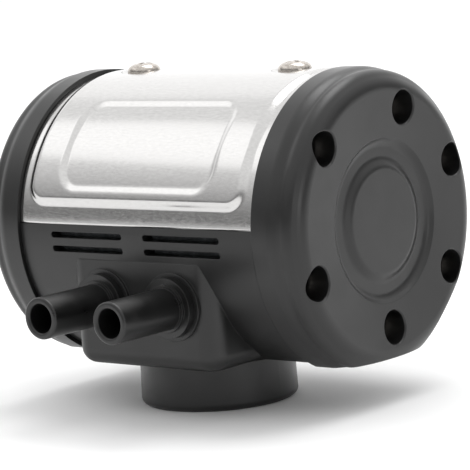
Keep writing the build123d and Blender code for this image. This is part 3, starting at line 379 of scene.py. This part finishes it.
def screwMesh(screw, turn):
    # points and faces of one screw: its seat is at the origin and its head points up z
    around, rings = 96, 32
    points, faces = [], []
    top = screw["headHeight"]
    points.append((0, 0, top - screw["crossDepth"]))
    for k in range(1, rings + 1):
        r = screw["headRadius"] * sin(pi / 2 * k / rings)
        share = 1 - (r / screw["headRadius"]) ** screw["roundness"]
        dome = screw["rim"] + (top - screw["rim"]) * share ** (1 / screw["roundness"])
        for n in range(around):
            angle = 2 * pi * n / around
            c, s = abs(r * cos(angle)), abs(r * sin(angle))
            across, outwards = min(c, s), max(c, s)
            # the recess narrows as it goes out and down
            inWidth = screw["crossWidth"] * (1 - screwCross["taper"] * outwards / screw["cross"]) - across
            inLength = (screw["cross"] - outwards) * screwCross["endSlope"]
            sunk = screw["crossDepth"] * smoothStep(min(inWidth / screwCross["wallFade"],
                                                        inLength / screwCross["endFade"], 1.0))
            points.append((r * cos(angle + turn), r * sin(angle + turn), dome - sunk))
    for n in range(around):
        faces.append((0, 1 + n, 1 + (n + 1) % around))
    for k in range(rings - 1):
        for n in range(around):
            a, b = 1 + k * around + n, 1 + k * around + (n + 1) % around
            faces.append((a, a + around, b + around, b))
    # side of the head, its seat, and the shank down to its point
    profile = ((screw["headRadius"], 0), (screw["shank"], 0), (screw["shank"], screwPoint - screw["length"]),
               (screw["shank"] - screwPoint, -screw["length"]))
    last = 1 + (rings - 1) * around
    for r, z in profile:
        start = len(points)
        for n in range(around):
            angle = 2 * pi * n / around + turn
            points.append((r * cos(angle), r * sin(angle), z))
        for n in range(around):
            a, b = last + n, last + (n + 1) % around
            faces.append((a, start + n, start + (n + 1) % around, b))
        last = start
    faces.append(tuple(last + n for n in reversed(range(around))))
    return points, faces


def makeScrews(name, screw, seats, node):
    points, faces = [], []
    for (spot, upright), turn in zip(seats, screw["turns"]):
        rotation = upright.to_track_quat("Z", "Y").to_matrix()
        onePoints, oneFaces = screwMesh(screw, radians(turn))
        start = len(points)
        points += [spot + rotation @ Vector(p) * mm for p in onePoints]
        faces += [tuple(start + n for n in face) for face in oneFaces]
    screws = newPiece(name, points, faces, materials["platedSteelScrew"])
    crisp = screws.modifiers.new("crispEdges", "EDGE_SPLIT")
    crisp.split_angle = radians(crispAngle)
    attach(screws, "body")
    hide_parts(node)


crown = drumZ + coverRadius * mm
makeScrews("coverScrews", coverScrew,
           [(Vector((side * screwSpread * mm, drumY, crown)), Vector((0, 0, 1))) for side in (-1, 1)],
           "cover_screws")
for sideName, side in (("left", -1), ("right", 1)):
    seats = []
    for angle, reach in capScrewPlaces:
        seats.append((Vector((side * (capLow.x + capScrewSeat * mm),
                              drumY + side * reach * mm * cos(radians(angle)),
                              drumZ + reach * mm * sin(radians(angle)))), Vector((side, 0, 0))))
    makeScrews("capScrews" + sideName.capitalize(), capScrew, seats, "cap_screws_" + sideName)
print("screws made")


def makeDiaphragm(side):
    node = "diaphragm_" + side
    mesh = nodes[node].data.copy()
    piece = bpy.data.objects.new("rolling" + side.capitalize() + "Diaphragm", mesh)
    scene.collection.objects.link(piece)
    places = [point.co.copy() for point in mesh.vertices]
    # laid out for a moment by distance from the shaft, then put back where it was
    for point in mesh.vertices:
        point.co = (hypot(point.co.y - drumY, point.co.z - drumZ), 0, 0)
    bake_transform(piece)
    for point, place in zip(mesh.vertices, places):
        point.co = place
    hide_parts(node)


makeDiaphragm("left")
makeDiaphragm("right")
print("diaphragms made")


# Floor and light
studio = {
    "floor": "#fafafa", "floorSize": 40.0,
    # the surround is bright overhead and at the back wall, and dim at the other horizons
    "surround": "#ffffff", "overhead": 1.12, "horizon": 0.24, "dimTo": 0.68,
    "backWall": (-0.65, 0.76, 0), "wallStart": 0.3, "wallFull": 0.72, "wallLevel": 1.4,
    # place, what it points at, width, height, power in watts
    "softboxes": {
        "leftBox": ((-1.15, -0.6, 1.3), (0, 0, 0.05), 1.0, 0.6, 1.0),
        "topBox": ((0.1, 0.5, 1.5), (0, 0, 0.05), 1.2, 0.8, 10),
        "rightBox": ((1.6, -0.35, 0.3), (0, 0, 0.05), 0.6, 0.4, 1.6),
    },
}


def makeStudio():
    floorSize = studio["floorSize"]
    corners = [(-1, -1), (1, -1), (1, 1), (-1, 1)]
    floor = newPiece("paleFloor", [(x * floorSize, y * floorSize, cadLow.z) for x, y in corners],
                     [(0, 1, 2, 3)], None, smooth=False)
    # matt painted sheet, so the object throws only a soft shadow
    material, tree = newMaterial("mattPaintedSheet")
    place = addNode(tree, "TexCoord")
    grain = addNode(tree, "TexNoise", values={"Scale": 400.0}, links={"Vector": (place, "Object")})
    relief = addNode(tree, "Bump", values={"Strength": 0.02, "Distance": 0.1 * mm},
                     links={"Height": (grain, "Fac")})
    shader = addNode(tree, "BsdfPrincipled",
                     values={"Base Color": toLinear(studio["floor"]), "Roughness": 0.95,
                             "Specular IOR Level": 0.1}, links={"Normal": (relief, "Normal")})
    closeMaterial(tree, shader)
    floor.data.materials[0] = material

    world = bpy.data.worlds.new("softSurround")
    world.use_nodes = True
    tree = world.node_tree
    direction = addNode(tree, "TexCoord")
    axes = addNode(tree, "SeparateXYZ", links={"Vector": (direction, "Generated")})
    climb = addNode(tree, "MapRange", settings={"interpolation_type": "SMOOTHSTEP"},
                    values={"From Min": 0.02, "From Max": studio["dimTo"],
                            "To Min": studio["horizon"], "To Max": studio["overhead"]},
                    links={"Value": (axes, "Z")})
    facing = addNode(tree, "VectorMath", settings={"operation": "DOT_PRODUCT"},
                     values={1: studio["backWall"]}, links={0: (direction, "Generated")})
    behind = addNode(tree, "MapRange", settings={"interpolation_type": "SMOOTHSTEP"},
                     values={"From Min": studio["wallStart"], "From Max": studio["wallFull"],
                             "To Min": 0.0, "To Max": studio["wallLevel"]},
                     links={"Value": (facing, "Value")})
    level = addNode(tree, "Math", settings={"operation": "MAXIMUM"},
                    links={0: (climb, "Result"), 1: (behind, "Result")})
    background = tree.nodes["Background"]
    background.inputs["Color"].default_value = toLinear(studio["surround"])
    tree.links.new(level.outputs["Value"], background.inputs["Strength"])
    scene.world = world

    for name, (spot, target, width, height, power) in studio["softboxes"].items():
        light = bpy.data.lights.new(name, "AREA")
        light.shape = "RECTANGLE"
        light.size, light.size_y, light.energy = width, height, power
        box = bpy.data.objects.new(name, light)
        box.location = spot
        box.rotation_euler = (Vector(target) - Vector(spot)).to_track_quat("-Z", "Y").to_euler()
        scene.collection.objects.link(box)


makeStudio()
print("floor and lights made")


# Camera: low, from the front right, with a long lens and a slight lean
cameraSet = {"azimuth": 40.2, "elevation": 7.8, "lean": -4.15, "distance": 0.723, "lens": 197.8,
             "right": 0.0019, "up": -0.0056}


def makeCamera():
    azimuth, elevation, lean = (radians(cameraSet[k]) for k in ("azimuth", "elevation", "lean"))
    back = Vector((sin(azimuth) * cos(elevation), -cos(azimuth) * cos(elevation), sin(elevation)))
    right = Vector((cos(azimuth), sin(azimuth), 0))
    up = back.cross(right)
    right, up = right * cos(lean) + up * sin(lean), up * cos(lean) - right * sin(lean)
    place = (Vector((0, drumY, drumZ)) + back * cameraSet["distance"]
             + right * cameraSet["right"] + up * cameraSet["up"])
    lens = bpy.data.cameras.new("longLens")
    lens.lens, lens.sensor_width = cameraSet["lens"], 36
    lens.clip_start, lens.clip_end = 0.05, 50
    camera = bpy.data.objects.new("camera", lens)
    columns = zip(right, up, back, place)
    camera.matrix_world = Matrix([tuple(row) for row in columns] + [(0, 0, 0, 1)])
    scene.collection.objects.link(camera)
    scene.camera = camera


makeCamera()
scene.view_settings.view_transform = "Standard"
print("camera made")
